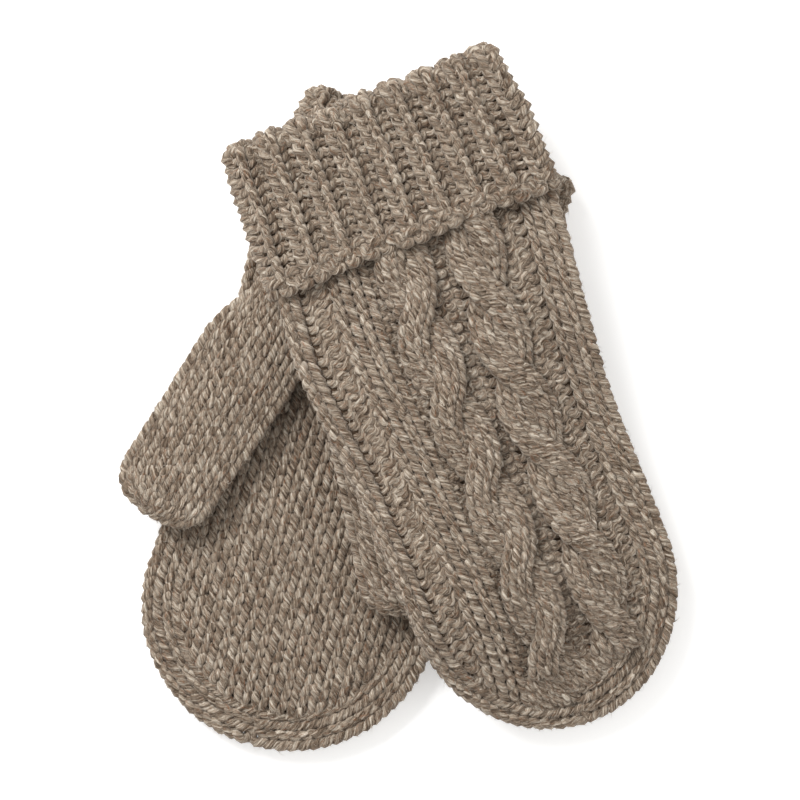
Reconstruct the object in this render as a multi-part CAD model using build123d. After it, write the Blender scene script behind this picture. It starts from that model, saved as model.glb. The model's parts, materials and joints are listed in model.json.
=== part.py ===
"""A pair of chunky cable-knit mittens with turned-back cuffs, laid flat one on the other.

The right mitten lies palm up underneath and the left mitten lies palm down on it. Both point their
fingertips towards -Y. Every mitten is built in its own frame, with its middle line along Y, the fold of
its cuff at Y = 0 and its fingertip at Y = -length, and is then turned and moved to where it lies.
Lengths called `along` are measured from the fold towards the fingertip.
"""
import os
from dataclasses import dataclass
from math import cos, pi, radians, sin, sqrt

from build123d import *

# Fabric, in millimetres.
WALL = 4.0
PLY_GAP = 0.4
LIE_GAP = 0.7
BASE_FLAT = 0.5

# Cuff.
CUFF_DEPTH = 57.0
CUFF_FLARE = 4.0
CAST_ON = 3.2
FOLD_ROUND = 3.4
FOLD_GAP = 0.6

# Thumb.
THUMB_HALF_WIDTH = 20.3
THUMB_END_HALF_WIDTH = 18.8
THUMB_CAVITY = 5.2
THUMB_ROUND = 14.0
KNUCKLE = 26.0
THUMB_SEAM = 1.8
GUSSET_HALF_WIDTH = 13.0
# Stations of the gusset: distance before the thumb's root, share of its width, depth of its start under
# the skin, and rise as a share of the way up to the thumb's far face.
GUSSET_STATIONS = ((20.0, 0.654, 6.0, 0.10), (9.0, 0.885, 5.5, 0.50), (-1.0, 1.0, 4.0, 0.84))

# Trim.
CABLE_RISE = 2.5
CABLE_HALF_WIDTH = 11.0
CABLE_PITCH = 34.0
CABLE_LOBES = 5
CABLE_LIFT = 0.15
SEAM_BEAD = 1.2
SEAM_ROOM = 0.9


@dataclass
class Mitten:
    """The sizes of one mitten as it lies, and where it lies."""

    name: str
    palm: int                # +1 lies palm up, -1 palm down
    fold: tuple              # middle of the cuff's fold, in plan
    heading: float           # turn of the middle line about Z, degrees
    length: float            # fold to fingertip
    wrist_half_width: float  # outside of the wrist rib at the fold
    palm_half_width: float
    tip_round: float         # length over which the fingertip curves in
    sway: float              # sideways shift of the fingertip end
    cavity: float            # height of the space inside
    wrist_turn: float        # turn of the cuff against the hand, degrees
    thumb_root: tuple        # centre of the thumb's swing: across, along
    thumb_turn: float        # splay of the thumb, degrees
    thumb_reach: float       # swing centre to thumb end
    cables: tuple            # places of the two cables across the back
    lay: tuple               # along, height of the middle, rise of the thumb edge


RIGHT = Mitten(
    name="right", palm=1, fold=(16.1, 104.6), heading=-16.6, length=250.5,
    wrist_half_width=51.5, palm_half_width=56.6, tip_round=55.5, sway=-3.5, cavity=6.4,
    wrist_turn=-4.0, thumb_root=(-38.5, 83.0), thumb_turn=16.7, thumb_reach=97.5,
    cables=(-13.3, 13.3),
    lay=((60.0, 11.6, 0.0), (95.0, 10.3, 0.0), (215.0, 10.3, 0.0), (251.0, 8.4, 0.0)),
)
LEFT = Mitten(
    name="left", palm=-1, fold=(-14.3, 117.6), heading=18.5, length=258.6,
    wrist_half_width=52.4, palm_half_width=51.8, tip_round=59.0, sway=6.5, cavity=8.0,
    wrist_turn=3.5, thumb_root=(-28.0, 83.0), thumb_turn=8.0, thumb_reach=116.0,
    cables=(-6.6, 19.9),
    lay=((60.0, 36.6, 0.0), (110.0, 37.0, 3.0), (150.0, 34.0, 8.0), (198.0, 31.0, 10.0),
         (230.0, 21.0, 7.0), (259.0, 11.0, 2.0)),
)

HAND_STEPS = (66.0, 77.0, 88.0, 100.0, 114.0, 128.0, 142.0, 156.0, 170.0, 184.0)
TIP_STEPS = (0.12, 0.34, 0.54, 0.72, 0.86, 0.95)
# Gathered ends: share of the way to the end, share of the width and of the thickness.
GATHERED = ((0.6, 0.73, 0.85), (1.0, 0.3, 0.5))


def ease(t):
    """Smooth step from 0 to 1."""
    t = min(max(t, 0.0), 1.0)
    return t * t * (3 - 2 * t)


def laid(m, along):
    """Height of the middle and rise of the thumb edge, smooth through the stations of the lay."""
    stations = (m.lay[0],) + m.lay + (m.lay[-1],)
    along = min(max(along, m.lay[0][0]), m.lay[-1][0])
    i = max(k for k in range(1, len(stations) - 2) if stations[k][0] <= along)
    here, there = stations[i], stations[i + 1]
    t = (along - here[0]) / (there[0] - here[0])
    found = []
    for k in (1, 2):
        span = there[0] - here[0]
        leave = span * slope(stations[i - 1], there, k)
        arrive = span * slope(here, stations[i + 2], k)
        rest = 1 - t
        value = here[k] * (1 + 2 * t) * rest * rest + there[k] * t * t * (3 - 2 * t)
        found.append(value + leave * t * rest * rest - arrive * t * t * rest)
    return found


def slope(before, after, k):
    """Change of one value of the lay between two of its stations."""
    return (after[k] - before[k]) / (after[0] - before[0])


def half_height(m):
    """Half the thickness of the flattened hand."""
    return m.cavity / 2 + WALL


def tip_start(m):
    """Where the fingertip begins to curve in."""
    return m.length - m.tip_round


def half_width(m, along):
    """Half the width of the hand, from the wrist's free end to the fingertip."""
    wrist = m.wrist_half_width + CUFF_FLARE
    width = wrist + (m.palm_half_width - wrist) * ease((along - 80) / 70)
    t = max(0.0, (along - tip_start(m)) / m.tip_round)
    return width * sqrt(max(0.0, 1 - t * t))


def hand_half_height(m, along):
    """Half the thickness of the hand, thinner at the fingertip."""
    t = max(0.0, (along - tip_start(m)) / m.tip_round)
    return half_height(m) * sqrt(max(0.0, 1 - 0.68 * t * t))


def hand_plane(m, along):
    """The cross-section plane of the hand, with its Y upwards."""
    height, rise = laid(m, along)
    yaw = radians(m.wrist_turn) * (1 - ease((along - CUFF_DEPTH) / 30))
    shift = m.sway * ease((along - 90) / 130)
    across = Vector(cos(yaw), sin(yaw), 0)
    onward = Vector(sin(yaw), -cos(yaw), 0)
    half = CUFF_DEPTH / 2
    bend = sin(radians(m.wrist_turn)) * half * (1 - ease((along - CUFF_DEPTH) / 40))
    middle = Vector(shift + bend, -along, height)
    x_dir = across - Vector(0, 0, rise / m.palm_half_width)
    return Plane(middle, x_dir=x_dir, z_dir=onward)


def wrist_plane(m, down):
    """A cross-section plane of the straight wrist, `down` from the fold along its own line."""
    yaw = radians(m.wrist_turn)
    half = CUFF_DEPTH / 2
    onward = Vector(sin(yaw), -cos(yaw), 0)
    middle = Vector(0, -half, m.lay[0][1]) + onward * (down - half)
    return Plane(middle, x_dir=Vector(cos(yaw), sin(yaw), 0), z_dir=onward)


def wrist_half_width(m, down):
    """Outside half width of the wrist rib."""
    return m.wrist_half_width + CUFF_FLARE * down / CUFF_DEPTH


def hand_sections(m):
    """(plane, half width, half height) of the hand from the wrist to the last stitch row."""
    steps = list(HAND_STEPS)
    steps += [tip_start(m) + t * m.tip_round for t in TIP_STEPS]
    found = [(wrist_plane(m, CUFF_DEPTH), wrist_half_width(m, CUFF_DEPTH), half_height(m))]
    for along in steps:
        found.append((hand_plane(m, along), half_width(m, along), hand_half_height(m, along)))
    return found


def tube(sections, inset=0.0):
    """A solid through elliptical sections, each made smaller all round by the inset."""
    return loft([plane * Ellipse(wide - inset, high - inset) for plane, wide, high in sections])


def half_ring(wide, high, inset, side):
    """Half of an elliptical wall as a face: side +1 is the upper half."""
    outer = EllipticalCenterArc((0, 0), wide, high, 0, arc_size=180 * side)
    inner = EllipticalCenterArc((0, 0), wide - inset, max(high - inset, 0.35), 0, arc_size=180 * side)
    edges = [outer, Line(outer @ 1, inner @ 1), inner, Line(inner @ 0, outer @ 0)]
    return make_face(edges)


def hand_panel(m, side):
    """One knitted panel of the hand, from side fold to side fold."""
    return loft([plane * half_ring(w, h, WALL, side) for plane, w, h in hand_sections(m)])


def surface_height(m, across, along, side):
    """Height of the hand's outside at a place, on its upper (+1) or lower (-1) face."""
    height, rise = laid(m, along)
    wide = half_width(m, along)
    offset = across - m.sway * ease((along - 90) / 130)
    bulge = sqrt(max(0.0, 1 - (offset / wide) ** 2)) * hand_half_height(m, along)
    return height - rise * offset / m.palm_half_width + side * bulge


def thumb_level():
    """Height of the middle of both thumbs: they lie on the right mitten's palm."""
    palm_top = RIGHT.lay[1][1] + half_height(RIGHT)
    return palm_top + LIE_GAP + WALL + THUMB_CAVITY / 2


def thumb_plane(m, reach):
    """Cross-section plane of the thumb, `reach` from the centre of its swing."""
    turn = radians(-m.thumb_turn)
    onward = Vector(sin(turn), -cos(turn), 0)
    root = Vector(m.thumb_root[0], -m.thumb_root[1], thumb_level())
    return Plane(root + onward * reach, x_dir=Vector(cos(turn), sin(turn), 0), z_dir=onward)


def thumb_sections(m, last):
    """Sections of the thumb, from inside its knuckle to a share of its rounded end."""
    high = WALL + THUMB_CAVITY / 2
    start = m.thumb_reach - THUMB_ROUND
    found = []
    for i in range(8):
        reach = KNUCKLE / 2 + (start - KNUCKLE / 2) * i / 7
        wide = THUMB_HALF_WIDTH + (THUMB_END_HALF_WIDTH - THUMB_HALF_WIDTH) * i / 7
        found.append((thumb_plane(m, reach), wide, high))
    for t in (0.25, 0.5, 0.7, last):
        shape = sqrt(1 - t * t)
        plane = thumb_plane(m, start + t * THUMB_ROUND)
        found.append((plane, THUMB_END_HALF_WIDTH * shape, high * sqrt(1 - 0.6 * t * t)))
    return found


def knuckle(m, radius):
    """A round pillar about the centre of the thumb's swing."""
    place = Pos(m.thumb_root[0], -m.thumb_root[1], thumb_level())
    return place * Cylinder(radius, 120)


def gusset_sections(m, inset):
    """Sections of the gore that grows out of the palm and leads into the thumb."""
    across, along = m.thumb_root
    high = WALL + THUMB_CAVITY / 2
    far = thumb_level() + m.palm * high
    found = []
    for back, share, sink, lift in GUSSET_STATIONS:
        place = along - back
        skin = surface_height(m, across, place, m.palm)
        near = skin - m.palm * sink
        top = skin + lift * (far - skin)
        middle = Vector(across, -place, (near + top) / 2)
        plane = Plane(middle, x_dir=(1, 0, 0), z_dir=(0, -1, 0))
        found.append((plane, share * GUSSET_HALF_WIDTH - inset, abs(top - near) / 2 - 0.6 * inset))
    found.append((thumb_plane(m, KNUCKLE * 0.72), THUMB_HALF_WIDTH - 2.2 - inset, high - inset))
    found.append((thumb_plane(m, KNUCKLE * 1.2), THUMB_HALF_WIDTH - inset, high - inset))
    return found


def palm_bulk(m):
    """Everything between the hand's middle and the outside of its palm."""
    faces = []
    for plane, wide, high in hand_sections(m):
        arc = EllipticalCenterArc((0, 0), wide, high, 0, arc_size=180 * m.palm)
        faces.append(plane * make_face([arc, Line(arc @ 1, arc @ 0)]))
    return loft(faces)


def thumb_parts(m):
    """Gusset, joining seam, thumb tube and thumb tip."""
    hand = palm_bulk(m)
    hollow = tube(gusset_sections(m, WALL))
    gore = tube(gusset_sections(m, 0.0)) - hand - hollow
    gusset = largest(gore & knuckle(m, KNUCKLE - THUMB_SEAM))
    seam = largest((gore & knuckle(m, KNUCKLE)) - knuckle(m, KNUCKLE - THUMB_SEAM))
    last = sqrt(1 - (0.45) ** 2)
    outside = tube(thumb_sections(m, last))
    inside = tube(thumb_sections(m, 0.78)[:-1], WALL)
    sleeve = outside - inside - knuckle(m, KNUCKLE + PLY_GAP)
    start = m.thumb_reach - THUMB_ROUND
    plane, wide, high = thumb_sections(m, last)[-1]
    ends = [(plane, wide, high)]
    for share, narrow, thin in GATHERED:
        reach = start + THUMB_ROUND * (last + share * (1 - last))
        ends.append((thumb_plane(m, reach), wide * narrow, high * thin))
    return gusset, seam, largest(sleeve), tube(ends), hollow


def largest(shape):
    """The biggest solid of a shape."""
    return shape.solids().sort_by(SortBy.VOLUME)[-1]


def cuff_sections(m, downs, extra):
    """Sections of the turned cuff, `extra` outside the wrist rib."""
    found = []
    for down in downs:
        wide = wrist_half_width(m, down) + extra
        found.append((wrist_plane(m, down), wide, half_height(m) + extra))
    return found


def ring(m, downs, outer, inner):
    """A straight stretch of ply between two allowances outside the wrist rib."""
    outside = loft([p * Ellipse(w, h) for p, w, h in cuff_sections(m, downs, outer)], ruled=True)
    inside = loft([p * Ellipse(w, h) for p, w, h in cuff_sections(m, downs, inner)], ruled=True)
    return outside - inside


def wrist_rib(m):
    """The inner ply of the cuff, inside the fold, down to the hand."""
    return ring(m, (WALL + FOLD_GAP, CUFF_DEPTH), 0.0, -WALL)


def turned_cuff(m):
    """The outer ply of the cuff and the rounded fold that carries it over the wrist's end."""
    full = PLY_GAP + WALL
    fold = ring(m, (0.6 * WALL, WALL), full, -WALL)
    lip_sections = [cuff_sections(m, (0.0,), full - FOLD_ROUND * 0.7)[0],
                    cuff_sections(m, (0.15 * WALL,), full - FOLD_ROUND * 0.25)[0],
                    cuff_sections(m, (0.6 * WALL,), full)[0]]
    lip = loft([p * Ellipse(w, h) for p, w, h in lip_sections], ruled=True)
    mouth = cuff_sections(m, (0.0, 0.6 * WALL), -WALL)
    lip -= loft([p * Ellipse(w, h) for p, w, h in mouth], ruled=True)
    sleeve = ring(m, (WALL, CUFF_DEPTH - CAST_ON), full, PLY_GAP)
    return rested(m, fold + lip + sleeve)


def rested(m, shape):
    """The right mitten's cuff is pressed flat where it rests."""
    if m.palm < 0:
        return shape
    return shape - Pos(0, 0, BASE_FLAT - 50) * Box(400, 400, 100)


def cast_on_edge(m):
    """The thick first row at the free edge of the turned cuff."""
    downs = (CUFF_DEPTH - CAST_ON, CUFF_DEPTH)
    return rested(m, ring(m, downs, PLY_GAP + WALL, PLY_GAP))


def side_seam(m):
    """A bead of sewing inside the little-finger edge, where the two panels meet."""
    found = []
    for plane, wide, high in hand_sections(m)[:-5]:
        room = wide - WALL
        slope = high - WALL
        inset = room * (1 - sqrt(1 - (SEAM_BEAD * 1.15 / slope) ** 2))
        centre = plane.origin + plane.x_dir * (room - inset - SEAM_BEAD - SEAM_ROOM)
        spot = Plane(centre, x_dir=plane.x_dir, z_dir=plane.z_dir)
        found.append((spot, SEAM_BEAD * 1.6, SEAM_BEAD * 0.8))
    return tube(found)


def fingertip(m):
    """The gathered end beyond the last stitch row."""
    plane, wide, high = hand_sections(m)[-1]
    last = -plane.origin.Y
    ends = [(plane, wide, high)]
    for share, narrow, thin in GATHERED:
        along = last + share * (m.length - last)
        ends.append((hand_plane(m, along), wide * narrow, high * thin))
    return tube(ends)


def cable(m, across):
    """A raised rope of crossed stitches on the back of the hand, flat underneath."""
    first = CUFF_DEPTH + 6
    steps = 4 * CABLE_LOBES
    side = -m.palm
    found = []
    for i in range(steps + 1):
        along = first + i * CABLE_PITCH / 4
        swell = 1 - 0.18 * (0.5 + 0.5 * cos(2 * pi * i / 4))
        offset = across * min(1.0, half_width(m, along) / m.palm_half_width)
        reach = CABLE_HALF_WIDTH / 2
        left = surface_height(m, offset - reach, along, side)
        right = surface_height(m, offset + reach, along, side)
        skin = surface_height(m, offset, along, side) + side * CABLE_LIFT
        tilt = Vector(2 * reach, 0, right - left)
        spot = Plane(Vector(offset, -along, skin), x_dir=tilt, z_dir=(0, -1, 0))
        half = CABLE_HALF_WIDTH * swell
        crown = EllipticalCenterArc((0, 0), half, CABLE_RISE, 0, arc_size=180 * side)
        found.append(spot * make_face([crown, Line(crown @ 1, crown @ 0)]))
    return loft(found)


def mitten(m):
    """All the pieces of one mitten, in place, by name."""
    gusset, seam, sleeve, thumb_cap, hollow = thumb_parts(m)
    pieces = {
        "palm_panel": largest(hand_panel(m, m.palm) - hollow),
        "back_panel": hand_panel(m, -m.palm),
        "outer_cable": cable(m, m.cables[0]),
        "inner_cable": cable(m, m.cables[1]),
        "thumb_gusset": gusset,
        "thumb_seam": seam,
        "thumb_tube": sleeve,
        "thumb_tip": thumb_cap,
        "wrist_rib": wrist_rib(m),
        "turned_cuff": turned_cuff(m),
        "cast_on_edge": cast_on_edge(m),
        "side_seam": side_seam(m),
        "fingertip": fingertip(m),
    }
    place = Location((m.fold[0], m.fold[1], 0), (0, 0, m.heading))
    return {f"{m.name}_{key}": place * shape for key, shape in pieces.items()}


def centred(pieces):
    """Move the pair so that the middle of its base is the origin."""
    box = Compound(children=[Compound(p.solids()) for p in pieces.values()]).bounding_box()
    shift = Pos(-box.center().X, -box.center().Y, -box.min.Z)
    return {name: shift * shape for name, shape in pieces.items()}


os.makedirs("parts", exist_ok=True)
pair = centred(mitten(RIGHT) | mitten(LEFT))
for node, shape in pair.items():
    export_step(shape, f"parts/{node}.step")
    size = shape.bounding_box().size
    print(node, len(shape.solids()), round(shape.volume), [round(v, 1) for v in size])
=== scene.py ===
"""A pair of chunky cable-knit mittens in which every stitch is a loop of plied wool yarn.

Each mitten is worked out in its own frame, in millimetres, with its middle line along -Y from the fold of
its cuff to its fingertip, and is then turned and moved to where its CAD pieces lie. A stitch is placed on
a patch by how far across and along it is and how high it stands on the skin.

The right mitten is the lower one and lies palm up. The left one lies on it with its back up.
"""
import json
import math
from types import SimpleNamespace

import bpy
import numpy as np
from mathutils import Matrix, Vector


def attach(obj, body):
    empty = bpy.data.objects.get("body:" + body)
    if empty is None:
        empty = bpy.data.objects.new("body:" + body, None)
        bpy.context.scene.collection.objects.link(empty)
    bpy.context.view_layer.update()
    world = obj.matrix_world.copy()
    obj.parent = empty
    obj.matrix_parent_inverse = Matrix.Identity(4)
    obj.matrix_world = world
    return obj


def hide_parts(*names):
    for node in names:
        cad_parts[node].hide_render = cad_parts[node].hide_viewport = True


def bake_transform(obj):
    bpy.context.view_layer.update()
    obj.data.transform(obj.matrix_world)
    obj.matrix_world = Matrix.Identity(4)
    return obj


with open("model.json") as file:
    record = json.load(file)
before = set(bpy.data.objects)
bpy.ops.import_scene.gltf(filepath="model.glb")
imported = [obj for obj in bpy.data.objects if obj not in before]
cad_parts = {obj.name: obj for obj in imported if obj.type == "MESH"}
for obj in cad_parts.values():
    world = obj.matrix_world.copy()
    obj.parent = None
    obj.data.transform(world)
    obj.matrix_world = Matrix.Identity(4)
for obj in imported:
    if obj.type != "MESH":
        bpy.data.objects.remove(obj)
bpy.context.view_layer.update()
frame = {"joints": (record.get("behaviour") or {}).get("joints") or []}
RNG = np.random.default_rng(7)
MM = 0.001

# Fabric, in millimetres.
WALL = 4.0
PLY_GAP = 0.4
CUFF_DEPTH = 57.0
CUFF_FLARE = 4.0
THUMB_END_ROUND = 14.0
ROW = 4.5
RIB_ROW = 4.0

# Yarn, in millimetres. A stitch's legs stand LOOP_DEPTH over its head and feet and lean back under its
# neighbours by LOOP_BULB. LOOP_REACH is the height of a loop as a share of the row.
YARN = 1.92
LOOP_DEPTH = 1.0
LOOP_BULB = 1.2
LOOP_REACH = 0.83
LOOSE_ALONG, LOOSE_UP = 0.18, 0.12
SINK = 2.7             # depth of the yarn's middle under the skin
FLOOR_GAP = 1.2        # the felt's height over the floor where the knitting is pressed flat
SIDES = 7              # corners of the yarn's section
STEPS = 14             # points along one stitch that shows
HIDDEN_STEPS = 11      # points along one stitch on the face that is turned down

# How far the knitting bulges over its sharp side folds, and over what width on the hand.
EDGE_PUFF, EDGE_PUFF_WIDTH = 3.2, 5.5
THUMB_PUFF = 2.2

# How far the last loops of a yarn dive under what borders them, and over how much of a stitch.
FACE_DIVE, FACE_DIVE_REACH = 1.6, 0.6
BORDER_DIVE, BORDER_DIVE_REACH = 1.3, 0.5
CABLE_DIVE, CABLE_DIVE_REACH = 1.7, 0.42

# The hand narrows from the cuff to the palm over this stretch, and its middle line sways over the next.
TAPER_START, TAPER_LENGTH = 80.0, 70.0
SWAY_START, SWAY_LENGTH = 90.0, 130.0
FIRST_ROW = CUFF_DEPTH - 3.0

# The two mittens as they lie: see the joints and nodes of the frame for their places.
RIGHT = SimpleNamespace(
    name="right", palm=1, heading=-16.6, wrist_half_width=51.5, palm_half_width=56.6, length=250.5,
    tip_round=55.5, sway=-3.5, cavity=6.4, wrist_turn=-4.0, thumb_root=(-38.5, 83.0), thumb_turn=16.7,
    thumb_reach=97.5, thumb_half=(20.3, 18.8),
    lay=((60.0, 11.6, 0.0), (95.0, 10.3, 0.0), (215.0, 10.3, 0.0), (251.0, 8.4, 0.0)))
LEFT = SimpleNamespace(
    name="left", palm=-1, heading=18.5, wrist_half_width=52.4, palm_half_width=51.8, length=258.6,
    tip_round=59.0, sway=6.5, cavity=8.0, wrist_turn=3.5, thumb_root=(-28.0, 83.0), thumb_turn=8.0,
    thumb_reach=116.0, thumb_half=(20.3, 18.8),
    lay=((60.0, 36.6, 0.0), (110.0, 37.0, 3.0), (150.0, 34.0, 8.0), (198.0, 31.0, 10.0),
         (230.0, 21.0, 7.0), (259.0, 11.0, 2.0)))
JOINTS = {j["name"]: j for j in frame["joints"]}


def ease(t):
    """A smooth step from 0 to 1."""
    t = np.clip(t, 0.0, 1.0)
    return t * t * (3 - 2 * t)


def laid(m, along):
    """Height of the middle and rise of the thumb edge, smooth through the stations of the lay."""
    st = np.array((m.lay[0],) + m.lay + (m.lay[-1],))
    along = np.clip(along, st[0, 0], st[-1, 0])
    i = np.clip(np.searchsorted(st[1:-1, 0], along, side="right"), 1, len(st) - 3)
    before, here, there, after = st[i - 1], st[i], st[i + 1], st[i + 2]
    span = there[..., 0] - here[..., 0]
    t = (along - here[..., 0]) / span
    rest = 1 - t
    found = []
    for k in (1, 2):
        leave = span * (there[..., k] - before[..., k]) / (there[..., 0] - before[..., 0])
        arrive = span * (after[..., k] - here[..., k]) / (after[..., 0] - here[..., 0])
        value = here[..., k] * (1 + 2 * t) * rest**2 + there[..., k] * t * t * (3 - 2 * t)
        found.append(value + leave * t * rest**2 - arrive * t * t * rest)
    return found


def to_frame(m, x, y, z):
    """From a mitten's own frame in millimetres to the shared frame in metres."""
    turn = math.radians(m.heading)
    hinge = JOINTS[m.name + "_thumb_swing"]["pos_m"]
    rx, ry = m.thumb_root[0], -m.thumb_root[1]
    dx, dy = x - rx, y - ry
    wx = hinge[0] / MM + dx * math.cos(turn) - dy * math.sin(turn)
    wy = hinge[1] / MM + dx * math.sin(turn) + dy * math.cos(turn)
    return np.stack([wx, wy, z - 0.5], axis=-1) * MM


def hand_place(m, x, v, z):
    """A point of the hand's cross-section at `v`, in the shared frame."""
    height, rise = laid(m, v)
    yaw = math.radians(m.wrist_turn) * (1 - ease((v - CUFF_DEPTH) / 30))
    lever = math.sin(math.radians(m.wrist_turn)) * CUFF_DEPTH / 2
    bend = lever * (1 - ease((v - CUFF_DEPTH) / 40))
    shift = m.sway * ease((v - SWAY_START) / SWAY_LENGTH)
    tilt = -rise / m.palm_half_width
    size = np.sqrt(1 + tilt**2)
    cy, sy = np.cos(yaw), np.sin(yaw)
    px = shift + bend + x * cy / size - z * cy * tilt / size
    py = -v + x * sy / size - z * sy * tilt / size
    pz = height + x * tilt / size + z / size
    return to_frame(m, px, py, pz)


def wrist_place(m, x, down, z):
    """A point of the straight wrist's cross-section, `down` from the fold."""
    yaw = math.radians(m.wrist_turn)
    half = CUFF_DEPTH / 2
    along = down - half
    px = math.sin(yaw) * along + x * math.cos(yaw)
    py = -half - math.cos(yaw) * along + x * math.sin(yaw)
    return to_frame(m, px, py, m.lay[0][1] + z)


def half_height(m):
    """Half the thickness of the hand, with its two walls."""
    return m.cavity / 2 + WALL


def hand_half(m, v):
    """Half width of the hand without the rounding of its tip."""
    wrist = m.wrist_half_width + CUFF_FLARE
    return wrist + (m.palm_half_width - wrist) * ease((v - TAPER_START) / TAPER_LENGTH)


def tip_start(m):
    """How far along the hand its tip begins to round."""
    return m.length - m.tip_round


def arc_table(wide, high, count=400):
    """Angle from the edge against arc length, for a quarter of an ellipse."""
    psi = np.linspace(0, math.pi / 2, count)
    step = np.sqrt((wide * np.sin(psi)) ** 2 + (high * np.cos(psi)) ** 2)
    arc = np.concatenate([[0], np.cumsum((step[1:] + step[:-1]) / 2 * np.diff(psi))])
    return arc, psi


def face_point(m, x, v, side, h):
    """A point over the flat of a face, from its place in plan."""
    a, b = hand_half(m, v), half_height(m)
    t = np.maximum(0, (v - tip_start(m)) / m.tip_round)
    z = b * np.sqrt(np.maximum(0.01, 1 - (x / a) ** 2 - t**2))
    n = np.stack([x / a**2, t / m.tip_round, z / b**2])
    n = n / np.linalg.norm(n, axis=0)
    return hand_place(m, x + h * n[0], v + h * n[1], side * (z + h * n[2]))


def band_point(m, edge, e, s, h):
    """A point over the edge: `e` round it from the outline, `s` along it towards the tip."""
    b = half_height(m)
    h = h + EDGE_PUFF * np.exp(-((e / EDGE_PUFF_WIDTH) ** 2))
    arc, psis = arc_table(m.palm_half_width, b)
    psi = np.sign(e) * np.interp(np.abs(e), arc, psis)
    radius = (m.palm_half_width + m.tip_round) / 2
    beta = np.maximum(0, (s - tip_start(m)) / radius)
    a = hand_half(m, s)
    n = np.stack([np.cos(psi) * np.cos(beta) / a, np.cos(psi) * np.sin(beta) / m.tip_round,
                  np.sin(psi) / b])
    n = n / np.linalg.norm(n, axis=0)
    x = a * np.cos(beta) * np.cos(psi) + h * n[0]
    v = np.minimum(s, tip_start(m)) + m.tip_round * np.sin(beta) * np.cos(psi) + h * n[1]
    return hand_place(m, edge * x, v, b * np.sin(psi) + h * n[2])


def ring_angle(share, wide, high):
    """The angle round an ellipse at a share of its length."""
    arc, psis = arc_table(wide, high)
    full = np.mod(share, 1.0) * 4
    part, rest = np.floor(full).astype(int) % 4, full - np.floor(full)
    inward = np.where(part % 2 == 0, rest, 1 - rest)
    base = np.interp(inward * arc[-1], arc, psis)
    quarters = [base, math.pi - base, math.pi + base]
    return np.select([part == 0, part == 1, part == 2], quarters, 2 * math.pi - base)


def wrist_point(m, share, down, radial):
    """A point round the wrist, `share` of the way round, `radial` outside the wrist rib."""
    wide = m.wrist_half_width + CUFF_FLARE * down / CUFF_DEPTH
    high = half_height(m)
    psi = ring_angle(share, m.wrist_half_width, high)
    n = np.stack([np.cos(psi) / wide, np.sin(psi) / high])
    n = n / np.linalg.norm(n, axis=0)
    x, z = wide * np.cos(psi) + radial * n[0], high * np.sin(psi) + radial * n[1]
    return wrist_place(m, x, down, z)


# Stitches and courses.


def mixed(values, phi, closed):
    """A value per stitch carried along each stitch and changed smoothly where two stitches meet."""
    values = np.asarray(values, float)
    after, before = np.roll(values, -1), np.roll(values, 1)
    if not closed:
        after[-1], before[0] = values[-1], values[0]
    u = phi / (2 * math.pi)
    wa, wb = 0.5 * ease((u - 0.15) / 0.35), 0.5 * ease((-u - 0.15) / 0.35)
    return values[:, None] * (1 - wa - wb) + after[:, None] * wa + before[:, None] * wb


def course(centres, widths, faces, row, lifts=0.0, loops=1.0, depth=LOOP_DEPTH, steps=STEPS,
           closed=False, bulb=LOOP_BULB):
    """(across, along, height) of one yarn through a row of stitches. Faces are +1 knit, -1 purl.

    `lifts` raise whole stitches, and `loops` of 0 let the yarn float straight past."""
    n = len(centres)
    phi = (np.arange(steps) + 0.5) / steps * 2 * math.pi - math.pi
    faces, lifts, loops = (np.broadcast_to(np.asarray(q, float), n) for q in (faces, lifts, loops))
    face, lift, loop = (mixed(q, phi, closed) for q in (faces, lifts, loops))
    widths = np.asarray(widths, float)[:, None]
    RNG.standard_normal(n)  # not used: it keeps the later draws in their order
    x = np.asarray(centres, float)[:, None] + widths / (2 * math.pi) * (phi + bulb * loop * np.sin(2 * phi))
    y = loop * LOOP_REACH * row * np.cos(phi)
    y = y + mixed(LOOSE_ALONG * RNG.standard_normal(n), phi, closed)
    z = -loop * face * depth * np.cos(2 * phi) + lift
    z = z + mixed(LOOSE_UP * RNG.standard_normal(n), phi, closed)
    return x.ravel(), y.ravel(), z.ravel()


def near_ends(count, reach):
    """1 at either end of a yarn of `count` points, falling to 0 within `reach` points."""
    here = np.arange(count)
    return np.maximum(0, 1 - here / reach) + np.maximum(0, 1 - (count - 1 - here) / reach)


def polygon_mesh(name, verts, loops, starts, maps):
    """A smooth mesh from flat arrays: corner indices, each face's first corner and its named maps."""
    mesh = bpy.data.meshes.new(name)
    mesh.vertices.add(len(verts))
    mesh.vertices.foreach_set("co", verts.astype(np.float32).ravel())
    mesh.loops.add(len(loops))
    mesh.loops.foreach_set("vertex_index", loops.astype(np.int32))
    mesh.polygons.add(len(starts))
    mesh.polygons.foreach_set("loop_start", starts.astype(np.int32))
    mesh.update(calc_edges=True)
    mesh.polygons.foreach_set("use_smooth", np.ones(len(starts), bool))
    for title, data in maps:
        layer = mesh.uv_layers.new(name=title)
        layer.data.foreach_set("uv", data.astype(np.float32).ravel())
    return mesh


def link(name, mesh, material):
    """An object for a mesh, in the scene."""
    mesh.materials.append(material)
    obj = bpy.data.objects.new(name, mesh)
    bpy.context.scene.collection.objects.link(obj)
    return obj


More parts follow.
